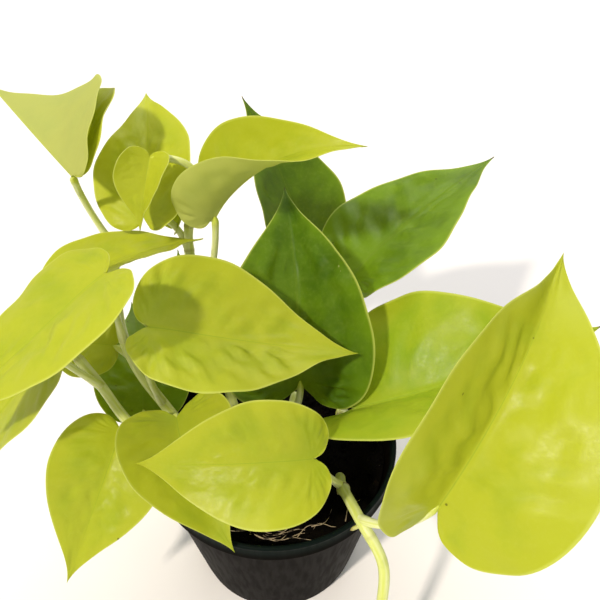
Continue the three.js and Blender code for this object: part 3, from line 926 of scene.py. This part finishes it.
class POTHOS_OT_soil(bpy.types.Operator):
    """Builds the lumpy potting mix, the crumbs and bark chips on it and the fine roots at its edge"""

    bl_idname = "pothos.soil"
    bl_label = "Soil"

    def execute(self, context):
        s, pot = context.scene.pothos_soil, context.scene.pothos_pot
        low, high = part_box("soil")
        self.radius = (high.x - low.x) / 2
        self.level, self.mound, self.lump = s.level, s.mound, s.lump
        rings, segments = 70, 150
        profile = [(0, low.z), (pot.foot_radius - 4 * MM, low.z)]
        profile += [(self.radius * 0.998 - 0.6 * MM, self.level - 2 * MM)]
        profile += [(self.radius * r / rings, self.level) for r in range(rings, -1, -1)]
        points, faces = turned(profile, segments)
        for point in points:
            if point[2] > self.level - 1 * MM:
                point[2] = self.surface(point[0], point[1])
        add_piece("soil_mix", (points, faces), potting_mix(s, "moist_peat", 0.35), ("soil",))
        self.crumbs(s)
        self.roots(s)
        return {"FINISHED"}

    def surface(self, x, y):
        """Height of the soil at a place."""
        share = min(1, math.hypot(x, y) / self.radius)
        place = Vector((x, y, 0))
        sizes = ((0.011, 1), (0.0045, 0.5), (0.0018, 0.3))
        lumps = sum(strength * noise.noise(place / size) for size, strength in sizes)
        return self.level + self.mound * (1 - share * share) + self.lump * lumps * (1 - 0.5 * share**6)

    def crumbs(self, s):
        """Loose crumbs, some flat like bark chips."""
        rng = np.random.default_rng(11)
        ball_points, ball_faces = turned([(0, -1), (0.75, -0.6), (1, 0), (0.75, 0.6), (0, 1)], 8)
        parts = {"crumbs_peat": [], "chips_bark": []}
        for _ in range(s.crumbs):
            chip = rng.random() < 0.22
            size = rng.uniform(0.5, 1.3) * MM if not chip else rng.uniform(1.0, 2.2) * MM
            breadth = rng.uniform(0.5, 0.9)
            stretch = np.array((1, breadth, rng.uniform(0.25, 0.45) if chip else rng.uniform(0.6, 0.9)))
            turn = np.linalg.qr(rng.normal(size=(3, 3)) + np.diag((0, 0, 3 if chip else 0)))[0]
            rough = 1 + 0.22 * rng.normal(size=(len(ball_points), 1))
            radius, angle = self.radius * 0.985 * math.sqrt(rng.random()), rng.uniform(0, 2 * math.pi)
            x, y = radius * math.cos(angle), radius * math.sin(angle)
            place = np.array((x, y, self.surface(x, y) + size * 0.15))
            crumb = (ball_points * rough * stretch * size) @ turn.T + place
            parts["chips_bark" if chip else "crumbs_peat"].append((crumb, ball_faces))
        for name, share in (("crumbs_peat", 0.5), ("chips_bark", 1.4)):
            add_piece(name, joined(parts[name]), potting_mix(s, "loose_" + name, share))

    def roots(self, s):
        """Hair-fine roots that lie on the mix along the inside of the rim."""
        rng = np.random.default_rng(4)
        parts = []
        for k in range(16):
            at = math.radians(-125 + 75 * k / 15 + rng.uniform(-4, 4))
            reach = self.radius * rng.uniform(0.78, 0.96)
            spread = rng.uniform(8, 20) * MM / reach * rng.choice((-1, 1))
            line = []
            for share in np.linspace(0, 1, 24):
                angle = at + spread * share
                radius = reach + 1.3 * MM * math.sin(5 * share + k) - 2 * MM * share
                x, y = radius * math.cos(angle), radius * math.sin(angle)
                line.append((x, y, self.surface(x, y) + (0.3 + 0.9 * math.sin(math.pi * share)) * MM))
            line = np.array(line)
            radii = 0.2 * MM * (1 - 0.7 * np.linspace(0, 1, len(line)))
            parts.append(swept(line, radii, 6))
        add_piece("roots_fine", joined(parts), living_root(s))


class POTHOS_OT_vines(bpy.types.Operator):
    """Builds the vines with their joint rings and the aerial roots on them"""

    bl_idname = "pothos.vines"
    bl_label = "Vines"

    def execute(self, context):
        s = context.scene.pothos_stem
        skin = stem_skin(s, "vine_skin", 0.7)
        for index, (name, vine) in enumerate(VINES.items()):
            points, gone = vine_line(name)
            share = gone / gone[-1]
            swelling, corky = np.zeros(len(share)), np.zeros(len(share))
            for place, strength in vine["nodes"]:
                away = (share - place) * gone[-1]
                swelling += strength * (0.16 * bell(away, 2.6 * MM) + 0.07 * bell(away, 0.5 * MM))
                corky += strength * 0.85 * bell(away, 0.8 * MM)
            taper = 1 - 0.12 * share
            wobble = np.array([noise.noise(Vector((index, 0, d / 0.012))) for d in gone])
            radii = vine["radius"] * MM * (taper + swelling + 0.05 * wobble)
            radii[-4:] *= np.array((0.96, 0.88, 0.72, 0.4))
            stem, cork = stem_attributes(gone, np.clip(corky, 0, 1))
            attributes = {"stem": stem, "corky": cork}
            add_piece(name + "_stem", swept(points, radii), skin, (name,), attributes)
        self.aerial_roots(skin)
        return {"FINISHED"}

    def aerial_roots(self, skin):
        """Short blunt roots that start at the joints of the vines."""
        stubs = (
            ("vine_trailing", 0.31, (-1.0, -0.1, -0.6), 4.0),
            ("vine_trailing", 0.19, (-0.7, -0.6, 0.1), 2.2),
            ("vine_left", 0.42, (0.1, -0.8, -0.6), 4.0),
            ("vine_mid_left", 0.40, (0.7, -0.5, -0.5), 4.5),
            ("vine_trailing", 0.72, (-0.8, -0.5, -0.1), 3.6),
        )
        parts, stems, corks = [], [], []
        for name, place, way, reach in stubs:
            points, gone = vine_line(name)
            start = points[np.argmin(np.abs(gone / gone[-1] - place))]
            way = unit(np.array(way, float))
            share = np.linspace(0, 1, 12)
            inner = VINES[name]["radius"] * MM * 0.5
            line = start + np.outer(inner + share * reach * MM, way)
            line[:, 2] -= 0.8 * MM * share**2
            radii = 0.9 * MM * (1 - 0.25 * share) * np.sqrt(np.clip(1.02 - share**6, 0, 1))
            parts.append(swept(line, radii, 12))
            stem, cork = stem_attributes(share * reach * MM, 0.35 + 0.6 * share**2, 12)
            stems.append(stem)
            corks.append(cork)
        attributes = {"stem": np.vstack(stems), "corky": np.concatenate(corks)}
        add_piece("aerial_roots", joined(parts), skin, (), attributes)


class POTHOS_OT_stalks(bpy.types.Operator):
    """Builds a stalk from its vine to each leaf, with a swollen foot and a joint below the blade"""

    bl_idname = "pothos.stalks"
    bl_label = "Stalks"

    def execute(self, context):
        s = context.scene.pothos_stem
        skin = stem_skin(s, "stalk_skin", 0.95)
        for name, leaf in LEAVES.items():
            base, tip = blade_ends(name)
            near = blade_surface(leaf, base, tip, np.array((0.0, 0.05, 0.05)), np.array((0.0, 0.04, -0.04)))
            base = base - 0.9 * MM * unit(np.cross(near[2] - near[0], near[1] - near[0]))
            start, via = np.array(leaf.start) * MM, np.array(leaf.via) * MM
            share = np.linspace(0, 1, 120)[:, None]
            line = (1 - share) ** 2 * start + 2 * (1 - share) * share * via + share**2 * base
            points, gone = evenly(line, STEP)
            left = gone[-1] - gone
            foot = 0.4 * bell(gone, s.sheath_length)
            joint = 0.08 * bell(left - 4.5 * MM, 2.5 * MM)
            radii = s.stalk_radius * (1 + foot + joint) * (0.45 + 0.55 * smooth_step(0, 3.5 * MM, left))
            corky = 0.2 * bell(gone - 2.2 * MM, 0.5 * MM)
            stem, cork = stem_attributes(gone, corky)
            near_blade = np.repeat(1 - smooth_step(0, 9 * MM, left), 20).tolist() + [0, 1]
            attributes = {"stem": stem, "corky": cork, "near_blade": near_blade}
            add_piece(
                f"stalk_{name}_stem", swept(points, radii), skin, ("stalk_" + name,), attributes
            )
        return {"FINISHED"}


class POTHOS_OT_leaves(bpy.types.Operator):
    """Builds every blade with its midrib, side veins, quilting and wavy margin, and the bract at the back"""

    bl_idname = "pothos.leaves"
    bl_label = "Leaves"

    def execute(self, context):
        s = context.scene.pothos_leaf
        young = waxy_leaf(s, "lime_leaf_cuticle", s.lime, s.leaf_green)
        old = waxy_leaf(s, "green_leaf_cuticle", s.leaf_green, s.dark_green)
        for seed, (name, leaf) in enumerate(LEAVES.items()):
            base, tip = blade_ends(name)
            shape, attributes = blade_mesh(leaf, base, tip, s, seed)
            skin, slot = (old, "green_leaf") if name.startswith("dark") else (young, "lime_leaf")
            piece = add_piece(f"leaf_{name}_blade", shape, skin, ("leaf_" + name,), attributes)
            self.compare(piece, shape[0])
        foot, top = np.array(BRACT_ENDS) * MM
        shape, attributes = blade_mesh(BRACT, foot, top, s, 77)
        add_piece("bract_back", shape, young, (), attributes)
        return {"FINISHED"}

    def compare(self, piece, points):
        """Raises if a blade strays from the solid that it stands for."""
        low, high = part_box(piece.name.removesuffix("_blade"))
        gap = max(np.abs(points.min(axis=0) - low).max(), np.abs(points.max(axis=0) - high).max())
        if not gap < 6 * MM:
            raise RuntimeError(f"{piece.name} is {gap / MM:.1f} mm off its solid")


# Each lamp's direction from the plant, its distance and its side, in metres.
LAMPS = {
    "key": ((-0.4, -0.52, 0.72), 2.5, 0.16),
    "top": ((0.05, 0.7, 0.9), 2, 1.6),
    "side": ((0.65, -0.7, 0.25), 1.6, 1.2),
}


class POTHOS_OT_stage(bpy.types.Operator):
    """Sets up the pale floor, the soft lamps, the even light all round and the camera"""

    bl_idname = "pothos.stage"
    bl_label = "Stage"

    def execute(self, context):
        s = context.scene.pothos_stage
        scene = context.scene
        half = s.floor_size / 2
        corners = [(-half, -half, 0), (half, -half, 0), (half, half, 0), (-half, half, 0)]
        floor = new_object("floor", (corners, [(0, 1, 2, 3)]))
        floor.data.materials.append(matt_paint(s))
        floor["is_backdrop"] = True

        low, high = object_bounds()
        middle = (low + high) / 2
        for name, (way, distance, size) in LAMPS.items():
            tint, strength = getattr(s, name + "_tint"), getattr(s, name + "_power")
            self.lamp(name + "_lamp", middle, Vector(way), distance, size, strength, tint)

        world = Nodes(bpy.data.worlds.new("studio"))
        light = world.add("ShaderNodeBackground", {"Color": rgba(s.sky_tint), "Strength": s.sky})
        scene.world = world.finish(light, "ShaderNodeOutputWorld")

        camera = bpy.data.objects.new("camera", bpy.data.cameras.new("camera"))
        camera.location = s.camera_place
        camera.rotation_euler = (math.pi / 2 - s.camera_dip, 0, 0)
        camera.data.sensor_width = 36
        camera.data.lens = s.lens
        camera.data.clip_start = 5 * MM
        scene.collection.objects.link(camera)
        scene.camera = camera
        scene.view_settings.view_transform = "Standard"
        return {"FINISHED"}

    def lamp(self, name, middle, way, distance, size, strength, tint):
        """A square lamp that shines on the middle of the plant."""
        data = bpy.data.lights.new(name, "AREA")
        data.energy, data.size, data.color = strength, size, tint
        lamp = bpy.data.objects.new(name, data)
        way = way.normalized()
        lamp.location = middle + way * distance
        lamp.rotation_euler = way.to_track_quat("Z", "Y").to_euler()
        bpy.context.scene.collection.objects.link(lamp)


class POTHOS_PT_plant(bpy.types.Panel):
    """Lists the pieces of the plant and their settings"""

    bl_idname = "POTHOS_PT_plant"
    bl_label = "Pothos"
    bl_space_type = "VIEW_3D"
    bl_region_type = "UI"
    bl_category = "Pothos"

    def draw(self, context):
        for key, names in STEPS.items():
            box = self.layout.box()
            for name in names:
                box.operator("pothos." + name)
            settings = getattr(context.scene, "pothos_" + key)
            for item in settings.bl_rna.properties:
                if not item.is_readonly and item.identifier != "name":
                    box.prop(settings, item.identifier)


STEPS = {
    "pot": ["pot"], "soil": ["soil"], "stem": ["vines", "stalks"], "leaf": ["leaves"], "stage": ["stage"],
}
SETTINGS = {
    "pot": PotSettings, "soil": SoilSettings, "stem": StemSettings, "leaf": LeafSettings,
    "stage": StageSettings,
}
OPERATORS = (
    POTHOS_OT_pot, POTHOS_OT_soil, POTHOS_OT_vines, POTHOS_OT_stalks, POTHOS_OT_leaves, POTHOS_OT_stage,
)


def register():
    for cls in (*SETTINGS.values(), *OPERATORS, POTHOS_PT_plant):
        bpy.utils.register_class(cls)
    for key, cls in SETTINGS.items():
        setattr(bpy.types.Scene, "pothos_" + key, PointerProperty(type=cls))


def unregister():
    for key in SETTINGS:
        delattr(bpy.types.Scene, "pothos_" + key)
    for cls in (POTHOS_PT_plant, *reversed(OPERATORS), *reversed(SETTINGS.values())):
        bpy.utils.unregister_class(cls)


def main():
    register()
    for names in STEPS.values():
        for name in names:
            getattr(bpy.ops.pothos, name)()


if __name__ == "__main__":
    main()
